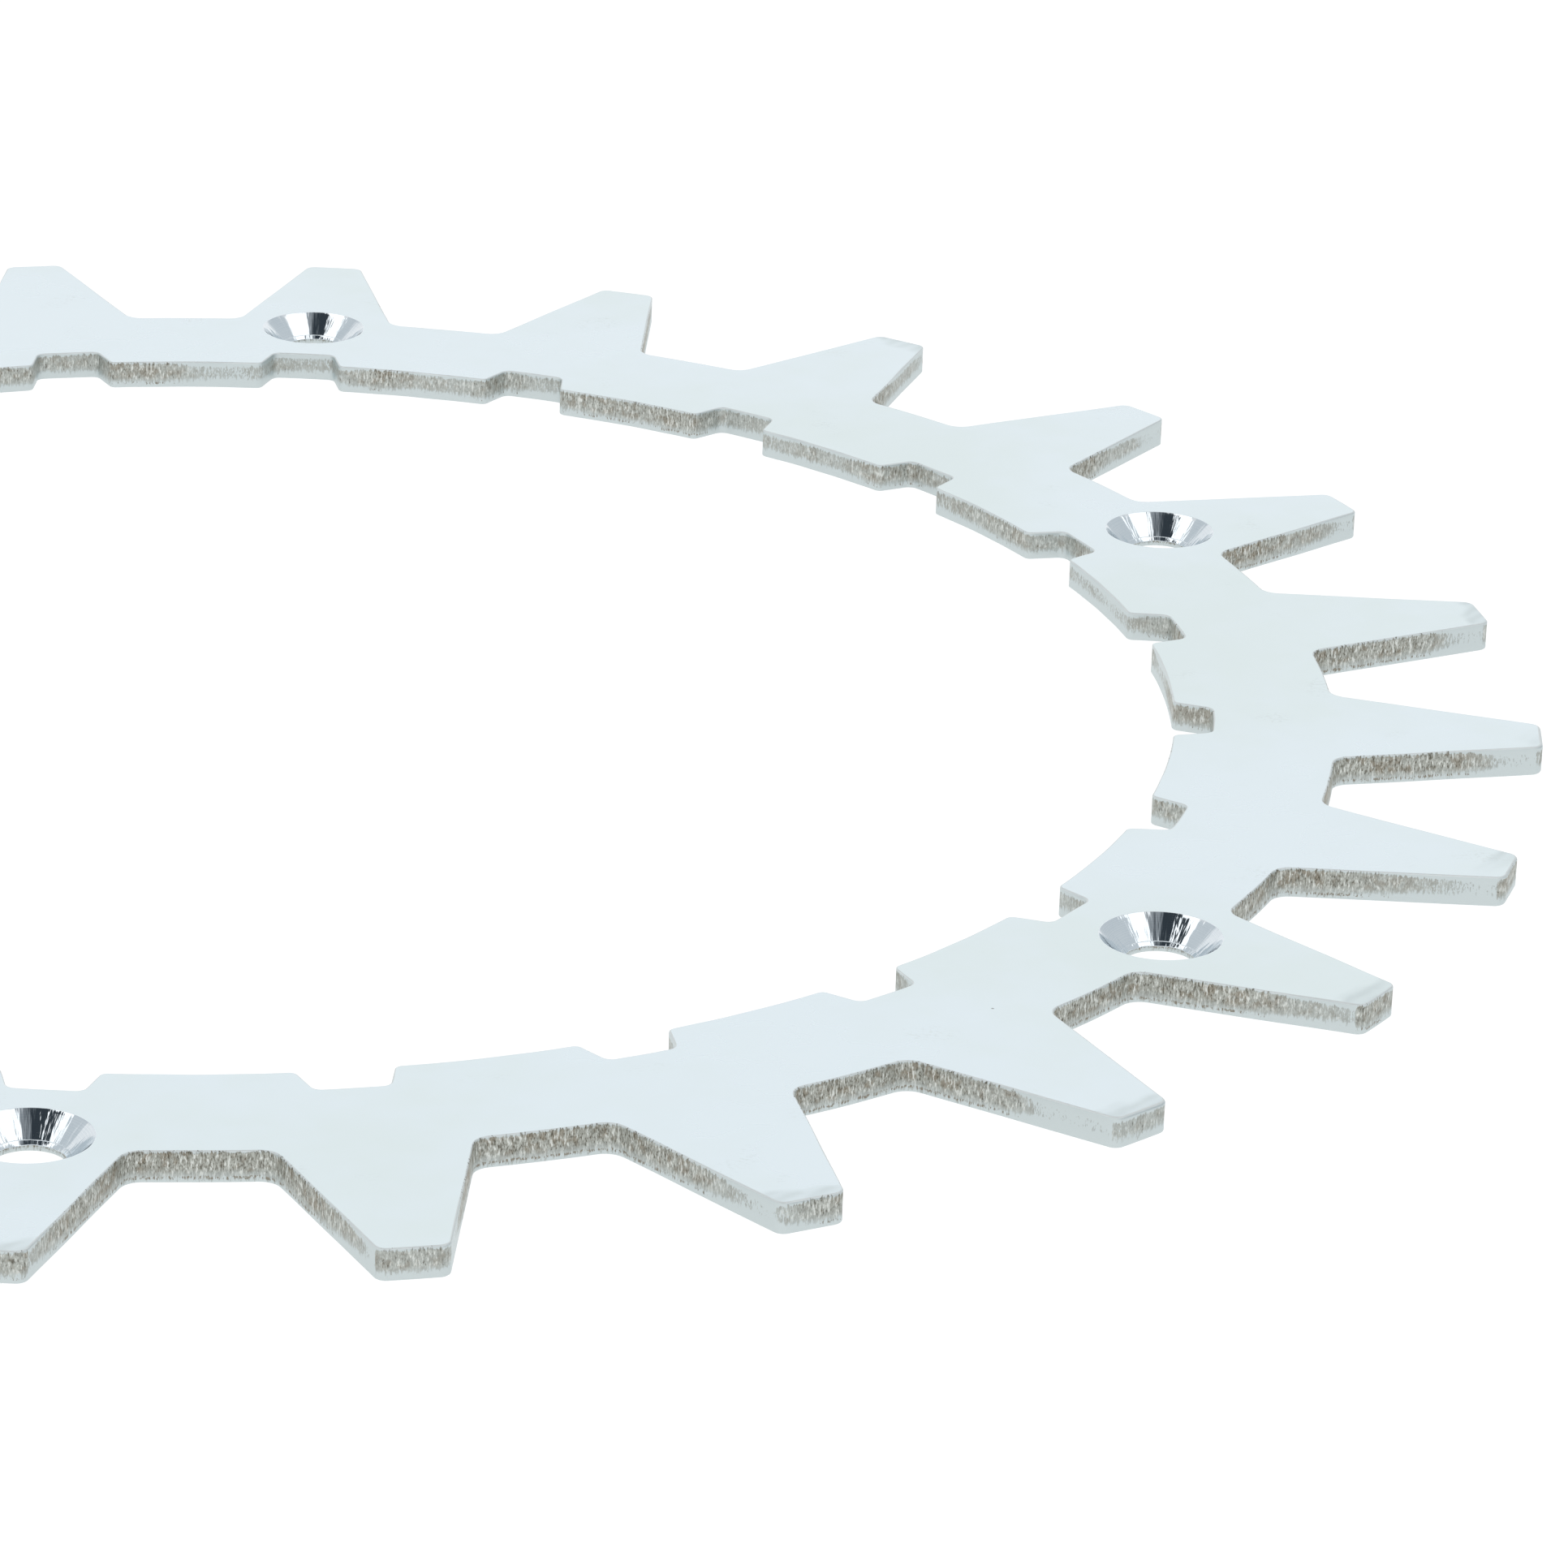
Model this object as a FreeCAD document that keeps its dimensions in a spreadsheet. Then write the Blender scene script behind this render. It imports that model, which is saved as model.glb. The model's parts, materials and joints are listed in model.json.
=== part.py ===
import FreeCAD, Part
import os
import Sketcher

# A spiked traction ring: one flat piece of 3 mm stainless sheet that screws to the side of a small
# wheel. Spikes stand out all round, a shallow notch is cut into the inner edge behind each spike, and
# countersunk screw holes lie on the centre lines of every fourth spike.
# The origin is the ring's centre on its plain face. +Z points towards the countersunk face, and one
# screw hole lies on +Y.

doc = FreeCAD.newDocument("spike_ring")

# Driving dimensions: millimetres, degrees and counts.
DIMENSIONS = [
    ("thickness", 3.0, "thickness of the sheet"),
    ("tip_diameter", 270.0, "circle of the spike tips"),
    ("root_diameter", 229.0, "circle of the floors between the spikes"),
    ("floor_diameter", 204.6, "circle of the notch floors"),
    ("land_diameter", 196.8, "circle of the inner edge"),
    ("spike_count", 24, "spikes, and as many notches"),
    ("tip_width", 6.1, "spike, corner to corner on the tip circle"),
    ("base_width", 17.4, "spike, corner to corner on the root circle"),
    ("floor_width", 6.7, "notch, corner to corner on its floor"),
    ("mouth_width", 8.9, "notch, corner to corner on the inner edge"),
    ("tip_fillet", 1.1, "spike's outer corners"),
    ("root_fillet", 2.0, "corners between a spike and the floor beside it"),
    ("floor_fillet", 1.0, "notch's inner corners"),
    ("mouth_fillet", 0.8, "notch's outer corners"),
    ("edge_round", 0.15, "tumbled edges of both faces"),
    ("hole_count", 6, "screw holes"),
    ("hole_circle", 224.0, "pitch circle of the screw holes"),
    ("hole_diameter", 6.6, "clearance for an M6 screw"),
    ("countersink_diameter", 11.5, "mouth of the countersink"),
    ("countersink_angle", 90.0, "full angle of the countersink"),
]

sheet = doc.addObject("Spreadsheet::Sheet", "dims")
for row, (alias, value, note) in enumerate(DIMENSIONS, start=1):
    sheet.set(f"A{row}", note)
    sheet.set(f"B{row}", str(value))
    sheet.setAlias(f"B{row}", alias)
doc.recompute()

TOLERANCE = 0.001


def sketch_on_base(body, name):
    """A sketch on the body's own XY plane, which is the ring's plain face."""
    plane = next(item for item in body.Origin.OriginFeatures if item.Role == "XY_Plane")
    sketch = body.newObject("Sketcher::SketchObject", name)
    sketch.AttachmentSupport = [(plane, "")]
    sketch.MapMode = "FlatFace"
    return sketch


def drive(sketch, constraint, name, expression):
    """Add a dimensional constraint and bind it to the sheet."""
    sketch.renameConstraint(sketch.addConstraint(constraint), name)
    sketch.setExpression(f"Constraints.{name}", expression)


def draw_circle(sketch, alias):
    """A circle about the ring's axis, with its diameter from the sheet."""
    diameter = sheet.get(alias)
    circle = sketch.addGeometry(Part.Circle(FreeCAD.Vector(), FreeCAD.Vector(0, 0, 1), diameter / 2), False)
    sketch.addConstraint(Sketcher.Constraint("Coincident", circle, 3, -1, 1))
    drive(sketch, Sketcher.Constraint("Diameter", circle, diameter), alias, f"dims.{alias}")


def draw_wedge(sketch, outer, outer_width, inner, inner_width):
    """A tapered outline about the Y axis: an arc on the outer circle, two straight flanks that end on
    the inner circle, and a chord between their ends."""
    corners = {}
    for circle, width in ((outer, outer_width), (inner, inner_width)):
        half = sheet.get(width) / 2
        height = ((sheet.get(circle) / 2) ** 2 - half ** 2) ** 0.5
        corners[circle] = (FreeCAD.Vector(-half, height), FreeCAD.Vector(half, height))
    left_out, right_out = corners[outer]
    left_in, right_in = corners[inner]
    crown = FreeCAD.Vector(0, sheet.get(outer) / 2)

    arc = sketch.addGeometry(Part.Arc(right_out, crown, left_out), False)
    left = sketch.addGeometry(Part.LineSegment(left_out, left_in), False)
    chord = sketch.addGeometry(Part.LineSegment(left_in, right_in), False)
    right = sketch.addGeometry(Part.LineSegment(right_in, right_out), False)

    sketch.addConstraint(Sketcher.Constraint("Coincident", arc, 3, -1, 1))
    sketch.addConstraint(Sketcher.Constraint("Coincident", arc, 2, left, 1))
    sketch.addConstraint(Sketcher.Constraint("Coincident", left, 2, chord, 1))
    sketch.addConstraint(Sketcher.Constraint("Coincident", chord, 2, right, 1))
    sketch.addConstraint(Sketcher.Constraint("Coincident", right, 2, arc, 1))
    sketch.addConstraint(Sketcher.Constraint("Symmetric", arc, 2, arc, 1, -2))
    sketch.addConstraint(Sketcher.Constraint("Symmetric", left, 2, right, 1, -2))
    outer_radius = sheet.get(outer) / 2
    inner_radius = sheet.get(inner) / 2
    drive(sketch, Sketcher.Constraint("Radius", arc, outer_radius), "outer_radius", f"dims.{outer} / 2")
    drive(sketch, Sketcher.Constraint("DistanceX", arc, 2, arc, 1, sheet.get(outer_width)),
          "outer_width", f"dims.{outer_width}")
    drive(sketch, Sketcher.Constraint("Distance", -1, 1, chord, 2, inner_radius),
          "inner_radius", f"dims.{inner} / 2")
    drive(sketch, Sketcher.Constraint("DistanceX", chord, 1, chord, 2, sheet.get(inner_width)),
          "inner_width", f"dims.{inner_width}")


def repeat_round(body, feature, name, count):
    """Copy a feature round the ring's axis."""
    pattern = body.newObject("PartDesign::PolarPattern", name)
    pattern.Originals = [feature]
    pattern.Axis = (feature.Profile[0], ["N_Axis"])
    pattern.Angle = 360
    pattern.setExpression("Occurrences", f"dims.{count}")
    body.Tip = pattern
    doc.recompute()
    return pattern


def upright_edges(shape, alias):
    """The names of the corner edges that run through the sheet on one circle."""
    names = []
    for number, edge in enumerate(shape.Edges, start=1):
        start = edge.Vertexes[0].Point
        end = edge.Vertexes[-1].Point
        upright = abs(end.z - start.z) > TOLERANCE
        on_circle = abs((start.x ** 2 + start.y ** 2) ** 0.5 - sheet.get(alias) / 2) < TOLERANCE
        if upright and on_circle:
            names.append(f"Edge{number}")
    return names


def face_edges(shape):
    """The names of the edges that bound the two flat faces."""
    names = []
    for number, edge in enumerate(shape.Edges, start=1):
        if edge.BoundBox.ZLength < TOLERANCE:
            names.append(f"Edge{number}")
    return names


def round_edges(body, base, name, edges, alias):
    """Fillet the named edges of a feature with a radius from the sheet."""
    fillet = body.newObject("PartDesign::Fillet", name)
    fillet.Base = (base, edges)
    fillet.setExpression("Radius", f"dims.{alias}")
    doc.recompute()
    return fillet


def volume_must(change, before, after, name):
    """Stop if a feature did not add or remove material as it should."""
    grew = after.Shape.Volume - before.Shape.Volume
    if grew * change <= TOLERANCE:
        raise RuntimeError(f"{name} changed the volume by {grew:.2f} cubic millimetres")
    print(f"{name}: {grew:+.1f} cubic millimetres")


ADDS = 1
CUTS = -1

body = doc.addObject("PartDesign::Body", "spike_ring")
body.Label = "spike_ring"

# The band that carries the spikes.
band_sketch = sketch_on_base(body, "band_outline")
draw_circle(band_sketch, "root_diameter")
draw_circle(band_sketch, "land_diameter")
band = body.newObject("PartDesign::Pad", "band")
band.Profile = band_sketch
band.setExpression("Length", "dims.thickness")
doc.recompute()

# One spike, then all of them.
spike_sketch = sketch_on_base(body, "spike_outline")
draw_wedge(spike_sketch, "tip_diameter", "tip_width", "root_diameter", "base_width")
spike = body.newObject("PartDesign::Pad", "spike")
spike.Profile = spike_sketch
spike.setExpression("Length", "dims.thickness")
doc.recompute()
spikes = repeat_round(body, spike, "spikes", "spike_count")
volume_must(ADDS, band, spikes, "spikes")

# One notch in the inner edge, then one behind every spike.
notch_sketch = sketch_on_base(body, "notch_outline")
draw_wedge(notch_sketch, "floor_diameter", "floor_width", "land_diameter", "mouth_width")
notch = body.newObject("PartDesign::Pocket", "notch")
notch.Profile = notch_sketch
notch.Reversed = True
notch.setExpression("Length", "dims.thickness")
doc.recompute()
notches = repeat_round(body, notch, "notches", "spike_count")
volume_must(CUTS, spikes, notches, "notches")

# The corners of the outline, then the tumbled edges of both faces.
outline = notches
corner_circles = {"tip": "tip_diameter", "root": "root_diameter", "floor": "floor_diameter",
                  "mouth": "land_diameter"}
for corner, circle in corner_circles.items():
    edges = upright_edges(outline.Shape, circle)
    outline = round_edges(body, outline, f"{corner}_corners", edges, f"{corner}_fillet")
    print(f"{corner} corners: {len(edges)} edges")
tumbled = round_edges(body, outline, "tumbled_edges", face_edges(outline.Shape), "edge_round")
volume_must(CUTS, outline, tumbled, "tumbled edges")

# One countersunk screw hole from the upper face, then all of them.
hole_sketch = sketch_on_base(body, "hole_centre")
hole_sketch.setExpression("AttachmentOffset.Base.z", "dims.thickness")
centre = FreeCAD.Vector(0, sheet.hole_circle / 2)
mark = hole_sketch.addGeometry(Part.Circle(centre, FreeCAD.Vector(0, 0, 1), sheet.hole_diameter / 2), False)
hole_sketch.addConstraint(Sketcher.Constraint("PointOnObject", mark, 3, -2))
drive(hole_sketch, Sketcher.Constraint("DistanceY", -1, 1, mark, 3, sheet.hole_circle / 2),
      "circle_radius", "dims.hole_circle / 2")
drive(hole_sketch, Sketcher.Constraint("Diameter", mark, sheet.hole_diameter),
      "hole_diameter", "dims.hole_diameter")
doc.recompute()
hole = body.newObject("PartDesign::Hole", "screw_hole")
hole.Profile = hole_sketch
doc.recompute()
hole.ThreadType = "None"
hole.DepthType = "ThroughAll"
hole.HoleCutType = "Countersink"
hole.HoleCutCustomValues = True
hole.setExpression("Diameter", "dims.hole_diameter")
hole.setExpression("HoleCutDiameter", "dims.countersink_diameter")
hole.setExpression("HoleCutCountersinkAngle", "dims.countersink_angle")
doc.recompute()
holes = repeat_round(body, hole, "screw_holes", "hole_count")
volume_must(CUTS, tumbled, holes, "screw holes")

doc.recompute()
for item in doc.Objects:
    if "Invalid" in item.State or "Error" in item.State:
        raise RuntimeError(f"{item.Name} is in the state {item.State}")

os.makedirs("parts", exist_ok=True)
for part in [item for item in doc.Objects if item.isDerivedFrom("PartDesign::Body")]:
    shape = part.Shape
    if shape.isNull() or not shape.isValid() or len(shape.Solids) != 1:
        raise RuntimeError(f"{part.Label} is not one valid solid")
    shape.exportStep(f"parts/{part.Label}.step")
    box = shape.BoundBox
    print(f"{part.Label}: {box.XLength:.2f} x {box.YLength:.2f} x {box.ZLength:.2f} mm, "
          f"{shape.Volume:.0f} cubic millimetres, {len(shape.Faces)} faces")
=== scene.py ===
import json
import math

import bpy
import numpy as np
from mathutils import Matrix, Vector, geometry


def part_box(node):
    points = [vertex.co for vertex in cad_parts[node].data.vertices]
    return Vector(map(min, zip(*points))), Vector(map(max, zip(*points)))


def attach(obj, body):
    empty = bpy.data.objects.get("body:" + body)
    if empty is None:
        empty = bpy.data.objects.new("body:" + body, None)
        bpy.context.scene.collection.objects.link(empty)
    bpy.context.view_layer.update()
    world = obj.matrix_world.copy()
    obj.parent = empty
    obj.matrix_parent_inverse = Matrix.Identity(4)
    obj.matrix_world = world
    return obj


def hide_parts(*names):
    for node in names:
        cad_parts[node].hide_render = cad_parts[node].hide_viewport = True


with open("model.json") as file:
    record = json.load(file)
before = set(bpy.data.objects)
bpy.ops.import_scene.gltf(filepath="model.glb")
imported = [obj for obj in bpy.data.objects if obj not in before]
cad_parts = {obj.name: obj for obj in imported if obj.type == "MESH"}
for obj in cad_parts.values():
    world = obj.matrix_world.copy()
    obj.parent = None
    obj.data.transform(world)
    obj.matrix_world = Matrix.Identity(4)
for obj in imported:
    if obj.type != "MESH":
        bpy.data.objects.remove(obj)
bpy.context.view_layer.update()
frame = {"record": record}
mm = 0.001

# The ring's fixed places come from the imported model: its box, and the circle of its screw holes.
ringLow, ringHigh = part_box("spike_ring")
screws = next(m["dims"] for m in frame["record"]["mounts"] if m["name"] == "screw_circle")

ring = {
    "name": "tractionRing",
    "spikes": 24,
    "tipRadius": ringHigh.x,
    "rootRadius": 114.5 * mm,      # floors between the spikes
    "floorRadius": 102.3 * mm,     # floors of the notches in the inner edge
    "landRadius": 98.4 * mm,       # inner edge
    "tipWidth": 6.1 * mm,
    "baseWidth": 17.4 * mm,
    "floorWidth": 6.7 * mm,
    "mouthWidth": 8.9 * mm,
    "tipFillet": 1.1 * mm,
    "rootFillet": 2.0 * mm,
    "floorFillet": 1.0 * mm,
    "mouthFillet": 0.8 * mm,
    "thickness": ringHigh.z,
    "edgeRound": 0.15 * mm,        # tumbled edge of both faces
    "edgeUneven": 0.25,            # how much that radius wanders, as a share of it
    "edgeWaves": range(9, 140, 13),   # waves per turn in that
    "tipWear": 0.8,                # how much larger it is at a worn spike tip
    "wearWaves": range(3, 12, 2),  # waves per turn in the wear from tip to tip
    "wearBand": 0.8 * mm,          # where it starts, inside the tip circle
    "guard": 0.15 * mm,            # flat strip beside a rounded edge
    "cutRelief": 0.04 * mm,        # depth of the waves that the cut left in the walls
    "closeWaves": (1.0, 2.6, 14),  # their lengths: shortest and longest in mm, and how many
    "broadWaves": (3.5, 11.0, 9),
    "crownRub": 0.48,              # how far the tips are rubbed smooth, 0 to 1
    "cornerRub": 0.52,             # and their corners
    "flankRub": 0.94,              # and the flanks, out at the tip
    "innerRub": 0.54,              # and the whole inner edge
    "step": 0.48 * mm,             # spacing of points along straight and large round stretches
    "filletSteps": 6,
    "edgeSteps": 4,
    "wallSteps": 4,
}

sink = {
    "count": screws["count"],
    "circle": screws["pcd_mm"] / 2 * mm,
    "holeRadius": screws["hole_r_mm"] * mm,
    "mouthRadius": 5.75 * mm,
    "mouthRound": 0.08 * mm,       # broken edge at the mouth
    "neckRound": 0.08 * mm,        # edge where the cone meets the straight hole
    "footRound": 0.1 * mm,         # edge on the plain face
    "neckUneven": 0.035 * mm,      # how much the neck wanders up and down
    "neckWaves": range(3, 12),     # waves per turn in that
    "neckBand": 0.45 * mm,         # how far up and down from the neck they reach
    "neckSeed": 40,
    "firstAngle": math.pi / 2,     # one hole lies on +Y
    "turns": 112,                  # points round a hole
    "coneSteps": 9,
    "edgeSteps": 3,
}


# Outline of half a spike or half a notch, as complex numbers about the ring's axis with the centre
# line along +X. A corner's round has its centre one fillet from the flank and one from the circle.
def cornerRound(corner, along, side, fillet, radius):
    start = corner + side * 1j * along * fillet
    reach = radius + side * fillet
    forward = (start * along.conjugate()).real
    centre = start + along * (math.sqrt(forward ** 2 - abs(start) ** 2 + reach ** 2) - forward)
    onCircle = centre * radius / abs(centre)
    onFlank = centre - side * 1j * along * fillet
    return centre, onCircle, onFlank


# An arc about a centre from one point to another the short way, as points and outward directions.
def arcRun(centre, first, last, steps, outward):
    turn = np.angle((last - centre) / (first - centre))
    spokes = (first - centre) * np.exp(1j * turn * np.arange(steps) / steps)
    return centre + spokes, outward * spokes / abs(first - centre)


# Outer arc, round, straight flank, round and inner arc, from the centre line to half a pitch away.
# The third list says how far tumbling has rubbed each point smooth, 0 to 1: most along a flank, out
# at its tip.
def halfOutline(outer, outerWidth, outerFillet, inner, innerWidth, innerFillet):
    halfPitch = math.pi / ring["spikes"]
    head = complex(math.sqrt(outer ** 2 - outerWidth ** 2 / 4), outerWidth / 2)
    foot = complex(math.sqrt(inner ** 2 - innerWidth ** 2 / 4), innerWidth / 2)
    along = (head - foot) / abs(head - foot)
    outCentre, outCircle, outFlank = cornerRound(head, along, -1, outerFillet, outer)
    inCentre, inCircle, inFlank = cornerRound(foot, along, 1, innerFillet, inner)
    crown = complex(outer, 0)
    valley = inner * np.exp(1j * halfPitch)
    flankSteps = math.ceil(abs(outFlank - inFlank) / ring["step"])
    flankShare = np.arange(flankSteps) / flankSteps
    crownSteps = math.ceil(abs(outCircle - crown) / ring["step"])
    valleySteps = math.ceil(abs(valley - inCircle) / ring["step"])
    runs = [
        arcRun(0, crown, outCircle, crownSteps, 1),
        arcRun(outCentre, outCircle, outFlank, ring["filletSteps"], 1),
        (outFlank + (inFlank - outFlank) * flankShare, np.full(flankSteps, 1j * along)),
        arcRun(inCentre, inFlank, inCircle, ring["filletSteps"], -1),
        arcRun(0, inCircle, valley, valleySteps, 1),
    ]
    points = np.concatenate([run[0] for run in runs] + [[valley]])
    outward = np.concatenate([run[1] for run in runs] + [[valley / abs(valley)]])
    rubbed = np.concatenate([
        np.full(crownSteps, ring["crownRub"]),
        np.linspace(ring["crownRub"], ring["cornerRub"], ring["filletSteps"]),
        ring["flankRub"] * (1 - flankShare),
        np.zeros(ring["filletSteps"] + valleySteps + 1),
    ])
    return points, outward, rubbed


# The half and its mirror image make one pitch, which is turned round the axis to close the outline.
def wholeOutline(half):
    points, outward, rubbed = [np.concatenate([values[:0:-1].conj(), values[:-1]]) for values in half]
    turns = np.exp(2j * np.pi * np.arange(ring["spikes"]) / ring["spikes"])
    rubbed = np.tile(rubbed, ring["spikes"])
    return np.outer(turns, points).ravel(), np.outer(turns, outward).ravel(), rubbed


# A closed sum of sine waves with random phases, about -1 to 1.
def wobble(places, waves, seed):
    phases = np.random.default_rng(seed).uniform(0, 2 * np.pi, len(waves))
    return np.sin(np.outer(waves, places) + phases[:, None]).sum(0) / math.sqrt(len(waves))


# The cut edge carried along an outline: in from the upper face, round, down the wall, round, and in
# under the ring. Each row is an inset from the outline and a height. The edge's radius wanders, and
# the wall has shallow waves that are deepest below its middle.
def edgeStrip(points, outward, seed):
    run = np.concatenate([[0], np.abs(np.diff(points)).cumsum()])
    places = 2 * np.pi * run / (run[-1] + abs(points[0] - points[-1]))
    length = run[-1] / mm
    slow = wobble(places, ring["edgeWaves"], seed)
    worn = np.clip((np.abs(points) - ring["tipRadius"]) / ring["wearBand"] + 1, 0, 1)
    worn = worn * (0.5 + 0.5 * wobble(places, ring["wearWaves"], seed + 1)).clip(0, 1)
    radius = ring["edgeRound"] * (1 + ring["edgeUneven"] * slow + ring["tipWear"] * worn)

    quarter = np.linspace(0, np.pi / 2, ring["edgeSteps"] + 1)[:, None]
    inset = radius * (1 - np.sin(quarter))
    drop = radius * (1 - np.cos(quarter))
    down = np.linspace(0, 1, ring["wallSteps"] + 1)[1:-1, None]
    height = ring["thickness"]
    wallHeight = (height - drop[-1]) * (1 - down) + drop[-1] * down
    close = wobble(places, (length / np.linspace(*ring["closeWaves"])).round(), seed + 2)
    broad = wobble(places, (length / np.linspace(*ring["broadWaves"])).round(), seed + 3)
    relief = ring["cutRelief"] * (0.5 + 0.3 * close + 0.2 * broad).clip(0, 1)
    wallInset = relief * np.sin(np.pi * down) * (0.55 + 0.45 * down)

    guard = radius + ring["guard"]
    rowInset = np.vstack([guard, inset, wallInset, inset[::-1], guard])
    rowHeight = np.vstack([height + 0 * guard, height - drop, wallHeight, drop[::-1], 0 * guard])
    place = points - outward * rowInset
    return np.stack([place.real, place.imag, rowHeight], -1)


# A bend of a given radius between two directions, as offsets in a radius-height plane.
def bend(corner, before, after, radius, steps):
    across = before[0] * after[1] - before[1] * after[0]
    turn = math.atan2(across, before[0] * after[0] + before[1] * after[1])
    side = math.copysign(1, turn)
    reach = radius * math.tan(abs(turn) / 2)
    start = np.array(corner) - reach * np.array(before)
    normal = side * np.array([-before[1], before[0]])
    angle = np.linspace(0, abs(turn), steps + 1)[:, None]
    return start + radius * (np.sin(angle) * np.array(before) + (1 - np.cos(angle)) * normal)


# A countersunk hole: radius and height of each row, in from the upper face, down the 45 degree cone
# and through the straight neck, then carried round the hole's axis. The neck wanders up and down.
# The lay of each point is its direction from that axis, and the hole's number plus its height as a
# share of the thickness.
def sinkStrip(number):
    top = ring["thickness"]
    neckHeight = top - (sink["mouthRadius"] - sink["holeRadius"])
    slope = (-math.sqrt(0.5), -math.sqrt(0.5))
    mouth = bend((sink["mouthRadius"], top), (-1, 0), slope, sink["mouthRound"], sink["edgeSteps"])
    neck = bend((sink["holeRadius"], neckHeight), slope, (0, -1), sink["neckRound"], sink["edgeSteps"])
    foot = bend((sink["holeRadius"], 0), (0, -1), (1, 0), sink["footRound"], sink["edgeSteps"])
    share = np.linspace(0, 1, sink["coneSteps"] + 1)[1:-1, None]
    cone = mouth[-1] * (1 - share) + neck[0] * share
    outerGuard = mouth[:1] + [[ring["guard"], 0]]
    innerGuard = foot[-1:] + [[ring["guard"], 0]]
    rows = np.vstack([outerGuard, mouth, cone, neck, foot, innerGuard])

    angle = 2 * np.pi * np.arange(sink["turns"]) / sink["turns"]
    lift = sink["neckUneven"] * wobble(angle, sink["neckWaves"], sink["neckSeed"] + number)
    nearNeck = np.clip(1 - abs(rows[:, 1] - neckHeight) / sink["neckBand"], 0, 1)[:, None]
    height = rows[:, 1:] + nearNeck * lift
    around = sink["firstAngle"] + 2 * np.pi * number / sink["count"]
    centre = sink["circle"] * np.array([math.cos(around), math.sin(around)])
    x = centre[0] + rows[:, :1] * np.cos(angle)
    y = centre[1] + rows[:, :1] * np.sin(angle)
    lay = np.stack([np.cos(angle) + 0 * height, np.sin(angle) + 0 * height,
                    number + height / ring["thickness"]], -1)
    return np.stack([x, y, height], -1), lay


shell = {"points": [], "lay": [], "rubbed": [], "faces": [], "slots": [], "smooth": []}
faceSlot, wallSlot, sinkSlot = 0, 1, 2


# Adds a grid of points that closes round its columns, and its quads, facing out of the metal.
def addStrip(grid, lay, rubbed, slots, inward):
    first = sum(len(part) for part in shell["points"])
    index = first + np.arange(grid.shape[0] * grid.shape[1]).reshape(grid.shape[:2])
    shell["points"].append(grid.reshape(-1, 3))
    shell["lay"].append(lay.reshape(-1, 3))
    shell["rubbed"].append(np.tile(rubbed, grid.shape[0]))
    upper, lower = index[:-1], index[1:]
    quads = np.stack([upper, lower, np.roll(lower, -1, 1), np.roll(upper, -1, 1)], -1)
    if inward:
        quads = quads[..., ::-1]
    shell["faces"] += quads.reshape(-1, 4).tolist()
    shell["slots"] += np.repeat(slots, grid.shape[1]).tolist()
    shell["smooth"] += [True] * (len(slots) * grid.shape[1])
    return index


# Fills a flat face between the outer loop, the inner loop and the holes with triangles, and keeps
# those that lie in the outer loop alone.
def addFlat(loops, facesUp):
    points = np.concatenate(shell["points"])
    ids = np.concatenate(loops)
    ends = np.cumsum([len(loop) for loop in loops])
    fills = [list(range(end - len(loop), end)) for loop, end in zip(loops, ends)]
    flat = [Vector(place) for place in points[ids, :2] / mm]
    insideOnly, closeTo = 1, 1e-7
    made = geometry.delaunay_2d_cdt(flat, [], fills, insideOnly, closeTo, True)
    first = np.array([source[0] for source in made[3]])
    metal = [face for face, source in zip(made[2], made[5]) if source == [0]]
    triangles = ids[first[np.array(metal)]]
    if not facesUp:
        triangles = triangles[:, ::-1]
    shell["faces"] += triangles.tolist()
    shell["slots"] += [faceSlot] * len(triangles)
    shell["smooth"] += [False] * len(triangles)


spikeHalf = halfOutline(ring["tipRadius"], ring["tipWidth"], ring["tipFillet"],
                        ring["rootRadius"], ring["baseWidth"], ring["rootFillet"])
notchHalf = halfOutline(ring["floorRadius"], ring["floorWidth"], ring["floorFillet"],
                        ring["landRadius"], ring["mouthWidth"], ring["mouthFillet"])
wallRows = [faceSlot] + [wallSlot] * (ring["edgeSteps"] * 2 + ring["wallSteps"]) + [faceSlot]
sinkRows = [faceSlot] + [sinkSlot] * (sink["edgeSteps"] * 2 + sink["coneSteps"])
sinkRows = sinkRows + [wallSlot] * (sink["edgeSteps"] + 1) + [faceSlot]

strips = []
for half, side, seed in ((spikeHalf, 1, 11), (notchHalf, -1, 23)):
    points, outward, rubbed = wholeOutline(half)
    grid = edgeStrip(points, side * outward, seed)
    if side < 0:
        rubbed = 0 * rubbed + ring["innerRub"]
    strips.append(addStrip(grid, 0 * grid, rubbed, wallRows, side < 0))
for number in range(sink["count"]):
    grid, lay = sinkStrip(number)
    strips.append(addStrip(grid, lay, np.zeros(sink["turns"]), sinkRows, True))
addFlat([strip[0] for strip in strips], True)
addFlat([strip[-1] for strip in strips], False)
print("ring surface:", sum(len(part) for part in shell["points"]), "points,", len(shell["faces"]), "faces")

ringMesh = bpy.data.meshes.new(ring["name"])
ringMesh.from_pydata(np.concatenate(shell["points"]).tolist(), [], shell["faces"])
ringMesh.polygons.foreach_set("material_index", shell["slots"])
ringMesh.polygons.foreach_set("use_smooth", shell["smooth"])
layAttribute = ringMesh.attributes.new("lay", "FLOAT_VECTOR", "POINT")
layAttribute.data.foreach_set("vector", np.concatenate(shell["lay"]).ravel())
rubbedAttribute = ringMesh.attributes.new("rubbed", "FLOAT", "POINT")
rubbedAttribute.data.foreach_set("value", np.concatenate(shell["rubbed"]))
ringMesh.update()
ringPiece = bpy.data.objects.new(ring["name"], ringMesh)
bpy.context.scene.collection.objects.link(ringPiece)


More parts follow.
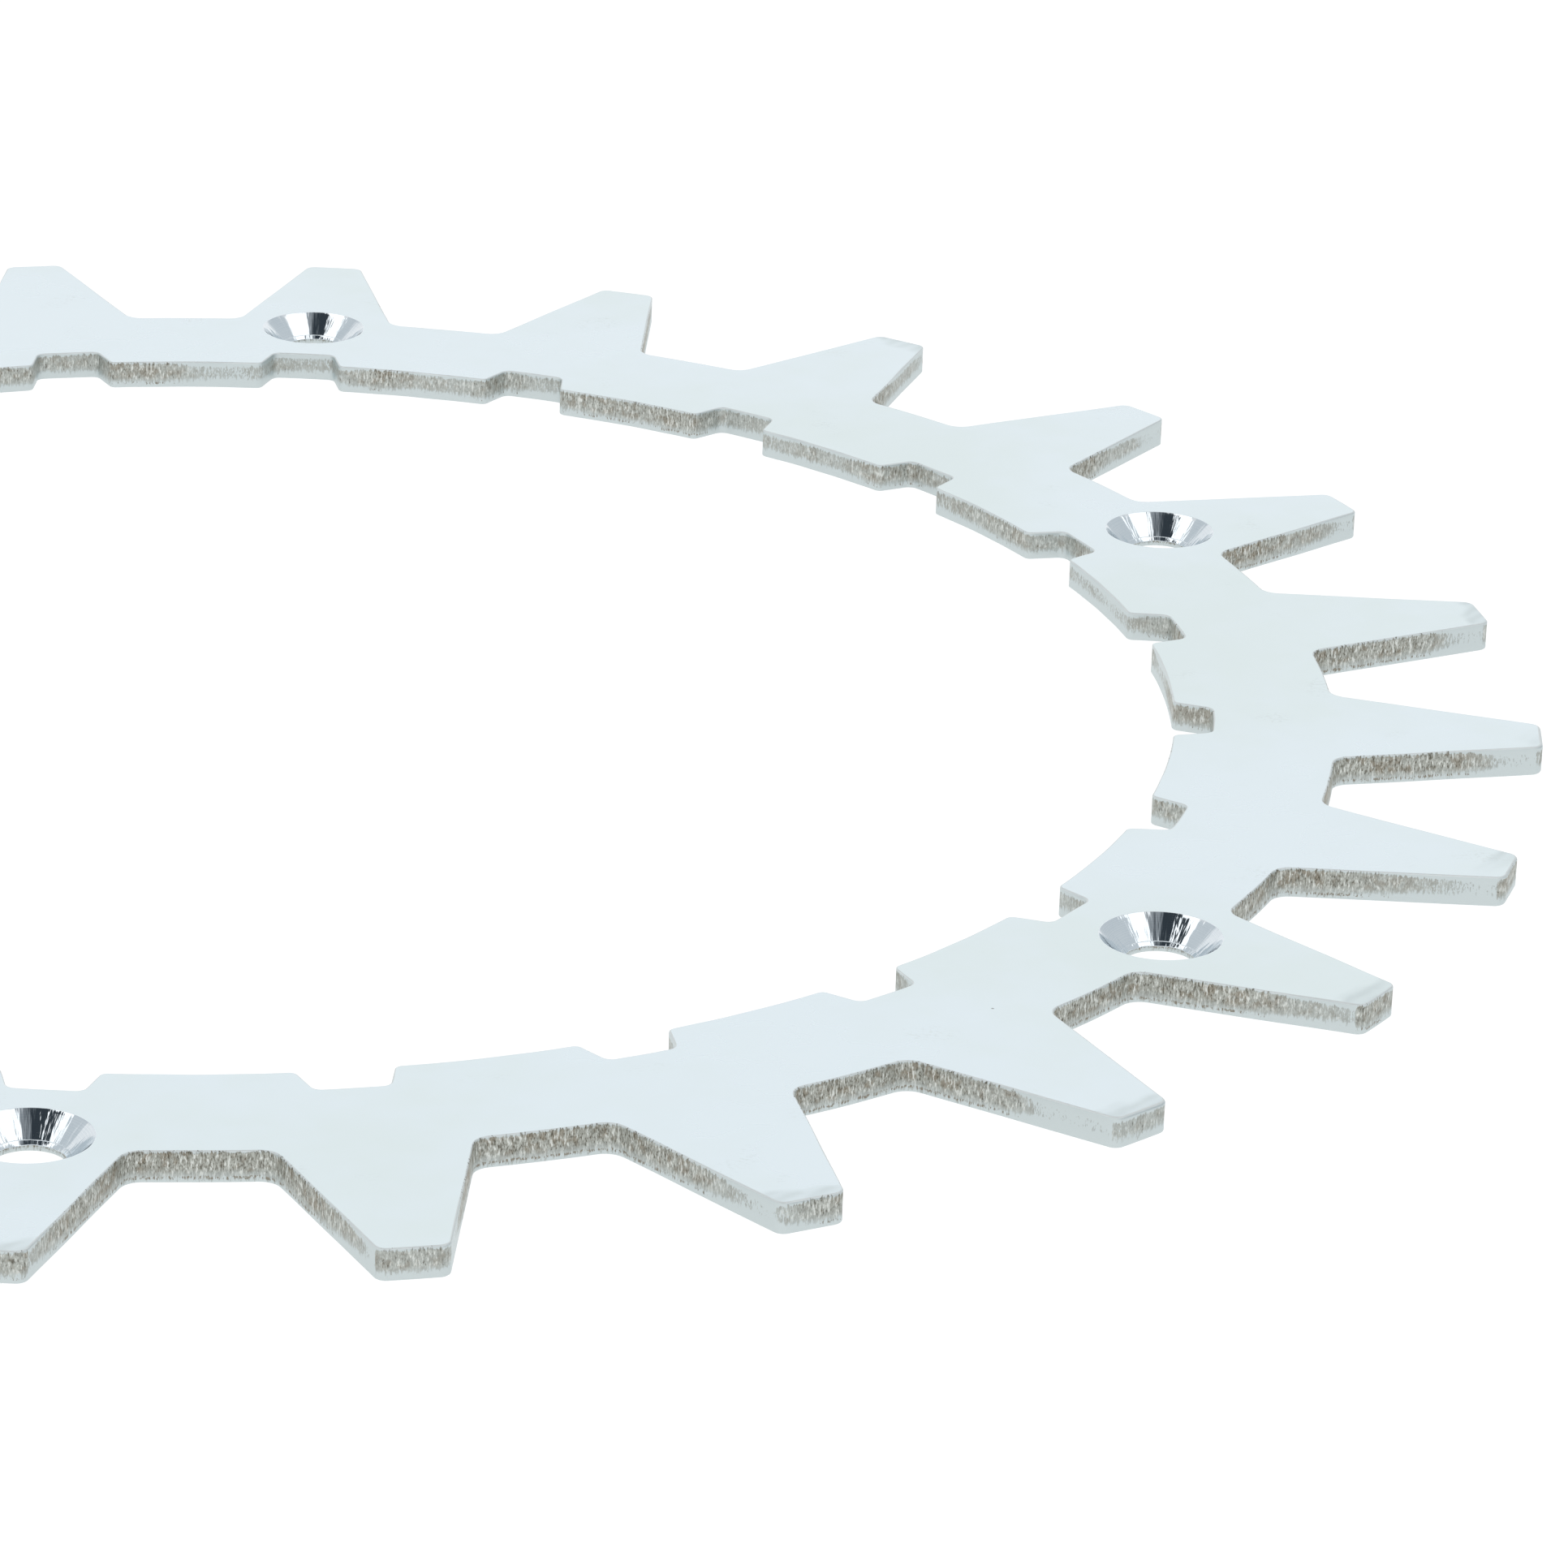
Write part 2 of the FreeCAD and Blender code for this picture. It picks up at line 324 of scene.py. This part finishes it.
# Adds a node, sets its properties, and fills its inputs with values or links.
def addNode(tree, kind, inputs=None, **settings):
    node = tree.nodes.new(kind)
    for key, value in settings.items():
        setattr(node, key, value)
    for key, value in (inputs or {}).items():
        socket = node.inputs[key]
        if isinstance(value, bpy.types.NodeSocket):
            tree.links.new(value, socket)
        else:
            socket.default_value = value
    return node


def maths(tree, operation, first, second=0.0, third=0.0, clamp=False):
    inputs = {0: first, 1: second, 2: third}
    return addNode(tree, "ShaderNodeMath", inputs, operation=operation, use_clamp=clamp).outputs[0]


def times(tree, first, second):
    return maths(tree, "MULTIPLY", first, second)


# A value times a scale, plus an offset.
def scaled(tree, value, scale, offset, clamp=False):
    return maths(tree, "MULTIPLY_ADD", value, scale, offset, clamp)


# A smooth step of a value from one edge to another, 0 to 1 or between the values given.
def fade(tree, value, low, high, start=0.0, end=1.0):
    node = addNode(tree, "ShaderNodeMapRange",
                   {"Value": value, "From Min": low, "From Max": high, "To Min": start, "To Max": end},
                   interpolation_type="SMOOTHSTEP")
    return node.outputs["Result"]


def blendColor(tree, factor, first, second):
    return addNode(tree, "ShaderNodeMix", {0: factor, 6: first, 7: second}, data_type="RGBA").outputs[2]


def noise(tree, vector, scale, detail=2.0, rough=0.5):
    node = addNode(tree, "ShaderNodeTexNoise", {"Vector": vector, "Scale": scale, "Detail": detail,
                                                "Roughness": rough})
    return node.outputs["Fac"]


def stretch(tree, vector, scale, turn=0.0):
    node = addNode(tree, "ShaderNodeMapping", {"Vector": vector, "Scale": scale, "Rotation": (0, 0, turn)})
    return node.outputs["Vector"]


def attribute(tree, name):
    return addNode(tree, "ShaderNodeAttribute", attribute_name=name).outputs


toneMix = {
    "closer": 12.0,         # scale of the close changes over that of the broad ones
    "closeShare": 0.2,
    "broadShare": 0.8,
}


# Slow changes of tone, as in any rolled and washed sheet, about 0 to 1.
def makeTone():
    tree = bpy.data.node_groups.new("slowTone", "ShaderNodeTree")
    tree.interface.new_socket("Vector", in_out="INPUT", socket_type="NodeSocketVector")
    tree.interface.new_socket("Scale", in_out="INPUT", socket_type="NodeSocketFloat")
    tree.interface.new_socket("Tone", in_out="OUTPUT", socket_type="NodeSocketFloat")
    entry = tree.nodes.new("NodeGroupInput").outputs
    leave = tree.nodes.new("NodeGroupOutput").inputs
    broad = noise(tree, entry["Vector"], entry["Scale"])
    close = noise(tree, entry["Vector"], times(tree, entry["Scale"], toneMix["closer"]))
    tone = scaled(tree, close, toneMix["closeShare"], times(tree, broad, toneMix["broadShare"]))
    tree.links.new(tone, leave["Tone"])
    return tree


toneGroup = makeTone()


def slowTone(tree, vector, scale):
    inputs = {"Vector": vector, "Scale": scale}
    return addNode(tree, "ShaderNodeGroup", inputs, node_tree=toneGroup).outputs["Tone"]


def newMaterial(name):
    material = bpy.data.materials.new(name)
    material.use_nodes = True
    tree = material.node_tree
    tree.nodes.clear()
    return material, tree


def setSurface(tree, surface):
    output = tree.nodes.new("ShaderNodeOutputMaterial")
    tree.links.new(surface, output.inputs["Surface"])


# A bare metal's shader from its color, roughness and height of relief.
def setMetal(tree, color, rough, relief, strength, distance):
    shader = addNode(tree, "ShaderNodeBsdfPrincipled", {"Metallic": 1.0})
    setSurface(tree, shader.outputs["BSDF"])
    tree.links.new(color, shader.inputs["Base Color"])
    tree.links.new(rough, shader.inputs["Roughness"])
    bump = addNode(tree, "ShaderNodeBump", {"Height": relief, "Strength": strength, "Distance": distance})
    tree.links.new(bump.outputs["Normal"], shader.inputs["Normal"])


def objectPlace(tree):
    return tree.nodes.new("ShaderNodeTexCoord").outputs["Object"]


# Scales are per metre, fades are the two ends of a smooth step, and shows are strengths, 0 to 1.
sheetFinish = {
    "cool": (0.76, 0.845, 0.885, 1),
    "warm": (0.745, 0.83, 0.835, 1),
    "toneScale": 17.0,                   # slow drift between the two
    "toneTurn": 5.4,                     # its lie, in radians
    "toneFade": (0.38, 0.64),
    "roughness": (0.26, 0.34),
    "roughFade": (0.3, 0.7),
    "patchScale": 110.0,                 # patches that scratches and smudges keep to
    "patchFade": (0.62, 0.74),
    "scratch": (0.64, 0.71, 0.735, 1),
    "scratches": ((0.35, 5200, 330), (1.25, 6000, 380), (2.2, 4800, 300)),   # turn, across, along
    "scratchFade": (0.70, 0.78),
    "scratchShow": 0.3,
    "smudge": (0.60, 0.66, 0.66, 1),
    "smudgeScale": 2400.0,
    "smudgeFade": (0.50, 0.70),
    "smudgeShow": 0.4,
    "pit": (0.22, 0.235, 0.23, 1),
    "pitScale": 85.0,                    # cells that may hold one pit each
    "pitPick": 0.72,                     # share of the cells that stay empty
    "pitSize": 0.015,                    # largest pit, in cells
    "pitRagged": 0.016,                  # raggedness of its outline, in cells
    "pitRaggedScale": 5200.0,
    "pitEdge": 0.008,
    "pitShow": 0.85,
    "ground": (0.62, 0.69, 0.70, 1),     # where a spike's tip was touched on a grinder
    "groundFrom": 132.4 * mm,            # radius where the ground patch starts
    "groundEdge": 1.6 * mm,
    "groundUneven": 5 * mm,
    "groundUnevenScale": 200.0,
    "groundPickScale": 24.0,             # which tips have one
    "groundPickFade": (0.5, 0.6),
    "groundTurn": 0.6,                   # lie of the grinder's lines, in radians
    "groundLines": 190.0,
    "groundShow": (0.3, 0.4),            # of the lines, and of the patch between them
    "groundRough": 0.15,
    "relief": 0.04 * mm,
    "reliefShow": 0.25,
    "groundRelief": 0.05,                # shares of that height
    "pitRelief": -0.6,
    "grainRelief": 0.04,
    "grainScale": 1500.0,
}


# Masks of the sheet's handling marks, 0 to 1: hairline scratches, soft smudges and small dark pits.
def markMasks(tree, place):
    patches = fade(tree, noise(tree, place, sheetFinish["patchScale"]), *sheetFinish["patchFade"])
    scratch = 0.0
    for turn, across, along in sheetFinish["scratches"]:
        lay = stretch(tree, place, (along, across, 1), turn)
        hair = fade(tree, noise(tree, lay, 1.0, 0.0), *sheetFinish["scratchFade"])
        scratch = maths(tree, "MAXIMUM", scratch, hair)
    cloud = noise(tree, place, sheetFinish["smudgeScale"], 2.0, 0.6)
    cells = addNode(tree, "ShaderNodeTexVoronoi", {"Vector": place,
                                                   "Scale": sheetFinish["pitScale"]}).outputs
    pick = addNode(tree, "ShaderNodeSeparateColor", {"Color": cells["Color"]}).outputs["Red"]
    size = fade(tree, pick, sheetFinish["pitPick"], 1.0, 0.0, sheetFinish["pitSize"])
    ragged = scaled(tree, noise(tree, place, sheetFinish["pitRaggedScale"], 1.0),
                    sheetFinish["pitRagged"], -sheetFinish["pitRagged"] / 2)
    pit = maths(tree, "SUBTRACT", maths(tree, "ADD", size, ragged), cells["Distance"])
    smudge = times(tree, fade(tree, cloud, *sheetFinish["smudgeFade"]), patches)
    return times(tree, scratch, patches), smudge, fade(tree, pit, 0.0, sheetFinish["pitEdge"])


# The duller ground patch of some tips, as a mask that the grinder's lines break up.
def groundMask(tree, place):
    flat = stretch(tree, place, (1, 1, 0))
    radius = addNode(tree, "ShaderNodeVectorMath", {0: flat}, operation="LENGTH").outputs["Value"]
    uneven = scaled(tree, noise(tree, flat, sheetFinish["groundUnevenScale"], 1.0),
                    sheetFinish["groundUneven"], -sheetFinish["groundUneven"] / 2)
    start = sheetFinish["groundFrom"]
    ground = fade(tree, maths(tree, "ADD", radius, uneven), start, start + sheetFinish["groundEdge"])
    picked = noise(tree, flat, sheetFinish["groundPickScale"], 0.0)
    ground = times(tree, ground, fade(tree, picked, *sheetFinish["groundPickFade"]))
    lines = stretch(tree, flat, (1, 1, 1), sheetFinish["groundTurn"])
    hatch = addNode(tree, "ShaderNodeTexWave", {"Vector": lines, "Scale": sheetFinish["groundLines"],
                                                "Distortion": 2.0, "Detail Scale": 3.0}).outputs["Fac"]
    return times(tree, ground, scaled(tree, hatch, *sheetFinish["groundShow"]))


# Rolled and tumbled stainless sheet: even and pale, with a slow drift of tone, hairline scratches,
# smudges and pits, and a duller ground patch with diagonal lines on some of the tips.
def makeSheet():
    material, tree = newMaterial("tumbledStainless")
    place = objectPlace(tree)
    lie = stretch(tree, place, (1, 1, 1), sheetFinish["toneTurn"])
    tone = slowTone(tree, lie, sheetFinish["toneScale"])
    scratch, smudge, pit = markMasks(tree, place)
    worn = groundMask(tree, place)

    color = blendColor(tree, fade(tree, tone, *sheetFinish["toneFade"]), sheetFinish["cool"],
                       sheetFinish["warm"])
    color = blendColor(tree, worn, color, sheetFinish["ground"])
    for mark, mask in (("smudge", smudge), ("scratch", scratch), ("pit", pit)):
        color = blendColor(tree, times(tree, mask, sheetFinish[mark + "Show"]), color, sheetFinish[mark])
    rough = fade(tree, tone, *sheetFinish["roughFade"], *sheetFinish["roughness"])
    rough = scaled(tree, worn, sheetFinish["groundRough"], rough)
    relief = scaled(tree, worn, sheetFinish["groundRelief"], times(tree, pit, sheetFinish["pitRelief"]))
    grain = noise(tree, place, sheetFinish["grainScale"], 1.0)
    relief = scaled(tree, grain, sheetFinish["grainRelief"], relief)
    setMetal(tree, color, rough, relief, sheetFinish["reliefShow"], sheetFinish["relief"])
    return material


cutFinish = {
    "pale": (0.60, 0.66, 0.665, 1),
    "edge": (0.72, 0.76, 0.76, 1),      # painted highlight on the rounded upper edge, lighter than the wall
    "edgeHighlightBelow": (0.16 * mm, 0.08 * mm),   # where the painted highlight starts and is full, below the upper face
    "mid": (0.545, 0.56, 0.52, 1),
    "deep": (0.27, 0.27, 0.235, 1),
    "deepFade": (0.42, 0.58),
    "deepShare": (0.7, 0.3),            # shares of the grain and of the patches in it
    "patchScale": 1300.0,
    "patchFade": (0.4, 0.65),
    "brown": (0.33, 0.28, 0.21, 1),
    "brownScale": 210.0,
    "brownFade": (0.46, 0.60),
    "brownShow": 0.5,
    "dark": (0.12, 0.11, 0.085, 1),
    "darkBar": (-0.16, 0.72),           # drop of the bar for dark specks, and its height
    "darkFade": 0.07,
    "darkShow": 0.8,
    # bright specks between the streaks: partly bare metal, partly painted glints of light
    "glintSpeck": (0.80, 0.82, 0.79, 1),
    "glintSpeckBelow": 0.44,
    "glintSpeckFade": 0.06,
    "glintSpeckShow": 0.8,
    "roughness": (0.50, 0.62),
    "streaks": (4800, 4800, 1250),      # dashes that run up and down the cut, per metre
    "grain": (9000, 9000, 3600),
    "mix": (0.55, 0.45),                # shares of the two
    "driftScale": 95.0,                 # how rubbing changes along the edge
    "drift": 1.2,
    "rubFade": (0.1, 0.95),
    "footHeight": 0.25 * mm,    # smooth foot above the plain face
    "footRise": 0.95 * mm,      # how much higher it reaches at the end of a rubbed flank
    "footFade": 0.3 * mm,
    "rimDepth": 0.10 * mm,      # smooth rim below the upper face
    "rimRise": 0.75 * mm,       # how much deeper it reaches there
    "rimFade": 0.12 * mm,
    "ragged": 2.0 * mm,         # how far the streaks run past the foot's line
    "rimRagged": 0.6,           # share of that at the rim's line
    "calmer": (0.5 * mm, 1.5 * mm, 0.45, 1.0),   # the lower part is calmer: heights and strengths
    "thinning": 0.30,           # share of the grain lost where a wall is rubbed
    "thinFade": (0.22, 0.32),
    "thinAll": -0.6,            # change of all of it there
    "speckRow": 0.5 * mm,       # height of the row of burnt specks
    "speckWave": 0.4 * mm,      # how far it wanders up and down, in all
    "speckFade": (0.22 * mm, 0.08 * mm),
    "speckRub": (0.7, 0.1),     # the row goes where a wall is rubbed
    "speckDark": 1.5,
    "speckBrown": 0.6,
    "relief": 0.12 * mm,
    "reliefShow": 0.6,
    "reliefSpan": (-0.9, -0.1),   # grooves are deeper by the first where busy, and by the second all over
}


# Where a cut wall is streaky, 0 to 1: between a smooth rim and a smooth foot with ragged borders. Out
# along the flanks, which are rubbed, rim and foot grow and the streaks thin out.
def busyMask(tree, height, streak, mixed, rubbed):
    bare = times(tree, rubbed, rubbed)
    reach = times(tree, maths(tree, "SUBTRACT", streak, 0.5), cutFinish["ragged"])
    foot = scaled(tree, rubbed, cutFinish["footRise"], cutFinish["footHeight"])
    overFoot = maths(tree, "ADD", maths(tree, "SUBTRACT", height, foot), reach)
    rim = scaled(tree, bare, -cutFinish["rimRise"], ringHigh.z - cutFinish["rimDepth"])
    underRim = scaled(tree, reach, cutFinish["rimRagged"], maths(tree, "SUBTRACT", rim, height))
    busy = times(tree, fade(tree, overFoot, 0.0, cutFinish["footFade"]),
                 fade(tree, underRim, 0.0, cutFinish["rimFade"]))
    busy = times(tree, busy, fade(tree, height, *cutFinish["calmer"]))
    kept = fade(tree, scaled(tree, bare, -cutFinish["thinning"], mixed), *cutFinish["thinFade"])
    return times(tree, busy, scaled(tree, rubbed, cutFinish["thinAll"], kept, clamp=True))


# The cut wall: pale metal with a painted highlight lightening its rounded upper edge, brown-grey streaks
# and grain where it is busy, bright specks between them that are partly bare metal and partly painted
# glints, and a row of burnt specks above the foot.
def makeCut():
    material, tree = newMaterial("cutEdge")
    place = objectPlace(tree)
    streak = noise(tree, stretch(tree, place, cutFinish["streaks"]), 1.0, 3.0, 0.6)
    grain = noise(tree, stretch(tree, place, cutFinish["grain"]), 1.0, 1.0)
    mixed = scaled(tree, streak, cutFinish["mix"][0], times(tree, grain, cutFinish["mix"][1]))
    tone = slowTone(tree, place, cutFinish["brownScale"])
    patch = noise(tree, place, cutFinish["patchScale"], 1.0)
    drift = scaled(tree, noise(tree, place, cutFinish["driftScale"], 1.0),
                   cutFinish["drift"], -cutFinish["drift"] / 2)
    height = addNode(tree, "ShaderNodeSeparateXYZ", {"Vector": place}).outputs["Z"]
    rubbed = maths(tree, "ADD", attribute(tree, "rubbed")["Fac"], drift)
    rubbed = fade(tree, rubbed, *cutFinish["rubFade"])
    busy = busyMask(tree, height, streak, mixed, rubbed)
    off = maths(tree, "SUBTRACT", scaled(tree, patch, cutFinish["speckWave"], height),
                cutFinish["speckRow"] + cutFinish["speckWave"] / 2)
    row = fade(tree, maths(tree, "ABSOLUTE", off), *cutFinish["speckFade"])
    row = times(tree, row, fade(tree, rubbed, *cutFinish["speckRub"]))

    # Painted highlight: the colour grows lighter up the rounded upper edge, in place of the light that the
    # edge catches.
    start, full = [ringHigh.z - depth for depth in cutFinish["edgeHighlightBelow"]]
    color = blendColor(tree, fade(tree, height, start, full), cutFinish["pale"], cutFinish["edge"])
    shade = scaled(tree, fade(tree, mixed, *cutFinish["deepFade"]), cutFinish["deepShare"][0],
                   times(tree, fade(tree, patch, *cutFinish["patchFade"]), cutFinish["deepShare"][1]))
    color = blendColor(tree, busy, color, blendColor(tree, shade, cutFinish["mid"], cutFinish["deep"]))
    warm = fade(tree, scaled(tree, patch, 0.5, times(tree, tone, 0.5)), *cutFinish["brownFade"])
    warm = times(tree, times(tree, busy, busy), warm)
    color = blendColor(tree, times(tree, warm, cutFinish["brownShow"]), color, cutFinish["brown"])
    # A dark speck shows where the grain passes a bar that drops in the row and in the busy part.
    bar = maths(tree, "MAXIMUM", busy, times(tree, row, cutFinish["speckDark"]))
    bar = scaled(tree, bar, *cutFinish["darkBar"])
    dark = fade(tree, maths(tree, "SUBTRACT", mixed, bar), 0.0, cutFinish["darkFade"])
    burnt = times(tree, row, cutFinish["speckBrown"])
    burnt = blendColor(tree, burnt, cutFinish["dark"], cutFinish["brown"])
    color = blendColor(tree, times(tree, dark, cutFinish["darkShow"]), color, burnt)
    # Bright specks in the busy part: partly bare metal, partly painted glints.
    light = maths(tree, "SUBTRACT", cutFinish["glintSpeckBelow"], streak)
    light = fade(tree, light, 0.0, cutFinish["glintSpeckFade"])
    light = times(tree, times(tree, light, busy), cutFinish["glintSpeckShow"])
    color = blendColor(tree, light, color, cutFinish["glintSpeck"])
    rough = fade(tree, busy, 0.0, 1.0, *cutFinish["roughness"])
    relief = times(tree, mixed, scaled(tree, busy, *cutFinish["reliefSpan"]))
    setMetal(tree, color, rough, relief, cutFinish["reliefShow"], cutFinish["relief"])
    return material


sinkFinish = {
    "bright": (0.82, 0.87, 0.90, 1),
    "shade": (0.74, 0.80, 0.84, 1),
    "shadeFade": (0.42, 0.6),
    "toneScale": 320.0,
    "roughness": (0.04, 0.09),
    "roughFade": (0.3, 0.7),
    "chatter": 0.2 * mm,         # height of the waves that the cutter left
    "waves": (2.4, 2.4, 0.35),   # their scale round the hole, twice, and down the slope
    "step": 0.30,                # share of the thickness where the cutter's second pass ended
    "stepFade": 0.01,
    "stepShift": 1.6,            # how far the waves are shifted there
    "rings": 60.0,               # fine rings round the axis, through the thickness
    "ringRelief": 0.001,
}


# The turned cone: near-mirror, with fine rings round the axis, and waves down the slope that change
# where the cutter's second pass ended.
def makeSink():
    material, tree = newMaterial("turnedCone")
    lay = addNode(tree, "ShaderNodeSeparateXYZ", {"Vector": attribute(tree, "lay")["Vector"]}).outputs
    depth = maths(tree, "FRACT", lay["Z"])
    step, soft = sinkFinish["step"], sinkFinish["stepFade"]
    secondPass = fade(tree, depth, step + soft, step - soft)
    shifted = scaled(tree, secondPass, sinkFinish["stepShift"], lay["Z"])
    around = addNode(tree, "ShaderNodeCombineXYZ", {"X": lay["X"], "Y": lay["Y"], "Z": shifted})
    waves = noise(tree, stretch(tree, around.outputs[0], sinkFinish["waves"]), 1.0, 4.0, 0.48)
    rings = addNode(tree, "ShaderNodeTexNoise", {"W": lay["Z"], "Scale": sinkFinish["rings"],
                                                 "Detail": 2.0}, noise_dimensions="1D").outputs["Fac"]
    tone = slowTone(tree, objectPlace(tree), sinkFinish["toneScale"])
    shade = fade(tree, scaled(tree, rings, 0.5, times(tree, tone, 0.5)), *sinkFinish["shadeFade"])
    color = blendColor(tree, shade, sinkFinish["bright"], sinkFinish["shade"])
    rough = fade(tree, tone, *sinkFinish["roughFade"], *sinkFinish["roughness"])
    relief = scaled(tree, rings, sinkFinish["ringRelief"], waves)
    setMetal(tree, color, rough, relief, 1.0, sinkFinish["chatter"])
    return material


for material in (makeSheet(), makeCut(), makeSink()):
    ringMesh.materials.append(material)
print("materials:", ", ".join(material.name for material in ringMesh.materials))

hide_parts("spike_ring")
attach(ringPiece, "root")

studio = {
    "floorSize": 12.0,
    "floorDrop": 0.02 * mm,         # keeps the floor clear of the ring's plain face
    "floorColor": (0.2, 0.2, 0.2, 1),
    "floorGlow": 0.92,              # keeps the floor a clean white
    "floorRough": 0.9,
}


# A glowing white floor that is clear from below, so that the ring's plain face can be looked at.
def makeFloor():
    half = studio["floorSize"] / 2
    low = ringLow.z - studio["floorDrop"]
    mesh = bpy.data.meshes.new("studioFloor")
    mesh.from_pydata([(-half, -half, low), (half, -half, low), (half, half, low), (-half, half, low)], [],
                     [(0, 1, 2, 3)])
    floor = bpy.data.objects.new("studioFloor", mesh)
    bpy.context.scene.collection.objects.link(floor)
    material, tree = newMaterial("paleFloor")
    white = addNode(tree, "ShaderNodeBsdfPrincipled", {
        "Base Color": studio["floorColor"], "Roughness": studio["floorRough"], "Specular IOR Level": 0.0,
        "Emission Color": (1, 1, 1, 1), "Emission Strength": studio["floorGlow"]}).outputs["BSDF"]
    clear = tree.nodes.new("ShaderNodeBsdfTransparent").outputs["BSDF"]
    back = tree.nodes.new("ShaderNodeNewGeometry").outputs["Backfacing"]
    sides = addNode(tree, "ShaderNodeMixShader", {0: back, 1: white, 2: clear})
    setSurface(tree, sides.outputs["Shader"])
    mesh.materials.append(material)


# Colors of the light from each side. Spans and heights are in parts of a unit direction, and each is
# where a fade starts and ends.
surround = {
    "back": (0.98, 0.99, 1.0, 1),         # walls in front and behind
    "right": (0.60, 0.64, 0.67, 1),       # soft grey walls to the sides
    "rightSpan": (0.42, 0.58),
    "left": (0.60, 0.64, 0.67, 1),
    "leftSpan": (-0.42, -0.58),
    "leftLow": (0.92, 0.93, 0.94, 1),
    "leftLowHeight": (0.38, 0.50),
    "ceiling": (0.79, 0.80, 0.81, 1),
    "ceilingHeight": (0.705, 0.735),
    "softbox": (1.33, 1.34, 1.35, 1),     # bright panel in the ceiling, on the camera's side
    "softboxTop": (0.97, 0.93),
    "softboxBack": (0.16, 0.10),
    "gap": (0.035, 0.045, 0.055, 1),      # dark gap across the panel
    "gapPale": (0.30, 0.32, 0.34, 1),     # its paler side
    "gapLean": 0.3,                       # how far the gap leans
    "gapShift": 0.16,
    "gapStart": (-0.29, -0.26),
    "gapEnd": (0.38, 0.26),
    "gapPaler": (-0.05, 0.25),
    "streakStart": (-0.50, -0.47),        # second gap beside it, a narrow one
    "streakEnd": (-0.31, -0.34),
    "gapBack": (-0.14, -0.2),
    "gapHeight": (0.78, 0.82),
    "under": (0.60, 0.62, 0.64, 1),       # below the horizon
    "underHeight": (0.0, -0.12),
}


# Soft light from all round: white walls in front and behind, grey ones to the sides, and a pale
# ceiling with a bright panel that dark gaps divide.
def makeWorld():
    world = bpy.data.worlds.new("softStudio")
    bpy.context.scene.world = world
    world.use_nodes = True
    tree = world.node_tree
    tree.nodes.clear()
    direction = tree.nodes.new("ShaderNodeTexCoord").outputs["Generated"]
    parts = addNode(tree, "ShaderNodeSeparateXYZ", {"Vector": direction}).outputs
    x, y, z = parts["X"], parts["Y"], parts["Z"]

    def span(value, name):
        return fade(tree, value, *surround[name])

    left = blendColor(tree, span(z, "leftLowHeight"), surround["leftLow"], surround["left"])
    light = blendColor(tree, span(x, "rightSpan"), surround["back"], surround["right"])
    light = blendColor(tree, span(x, "leftSpan"), light, left)
    light = blendColor(tree, span(z, "ceilingHeight"), light, surround["ceiling"])
    softbox = times(tree, span(z, "ceilingHeight"), span(z, "softboxTop"))
    softbox = times(tree, softbox, span(y, "softboxBack"))
    light = blendColor(tree, softbox, light, surround["softbox"])
    across = maths(tree, "ADD", scaled(tree, y, surround["gapLean"], x), surround["gapShift"])
    gap = times(tree, span(across, "gapStart"), span(across, "gapEnd"))
    streak = times(tree, span(across, "streakStart"), span(across, "streakEnd"))
    gap = times(tree, maths(tree, "MAXIMUM", gap, streak), span(y, "gapBack"))
    gap = times(tree, gap, span(z, "gapHeight"))
    gapColor = blendColor(tree, span(across, "gapPaler"), surround["gap"], surround["gapPale"])
    light = blendColor(tree, gap, light, gapColor)
    light = blendColor(tree, span(z, "underHeight"), light, surround["under"])
    background = addNode(tree, "ShaderNodeBackground", {"Color": light})
    output = tree.nodes.new("ShaderNodeOutputWorld")
    tree.links.new(background.outputs[0], output.inputs["Surface"])


view = {
    "aim": (60.5 * mm, -22.6 * mm, 3.0 * mm),
    "azimuth": 2.01,       # degrees round from -Y towards +X
    "elevation": 21.69,
    "roll": 1.95,
    "distance": 0.6911,
    "lens": 163.7,
    "sensor": 36.0,
    "near": 0.05,
}


def makeCamera():
    azimuth, elevation = math.radians(view["azimuth"]), math.radians(view["elevation"])
    level = math.cos(elevation)
    back = Vector((math.sin(azimuth) * level, -math.cos(azimuth) * level, math.sin(elevation)))
    data = bpy.data.cameras.new("studioCamera")
    data.lens = view["lens"]
    data.sensor_width = view["sensor"]
    data.clip_start = view["near"]
    camera = bpy.data.objects.new("studioCamera", data)
    bpy.context.scene.collection.objects.link(camera)
    place = Matrix.Translation(Vector(view["aim"]) + back * view["distance"])
    turned = back.to_track_quat("Z", "Y").to_matrix().to_4x4()
    camera.matrix_world = place @ turned @ Matrix.Rotation(math.radians(view["roll"]), 4, "Z")
    bpy.context.scene.camera = camera


makeFloor()
makeWorld()
makeCamera()
bpy.context.scene.view_settings.view_transform = "Standard"
bpy.context.scene.view_settings.look = "None"
print("studio: floor, soft surround and camera")

bpy.context.view_layer.update()
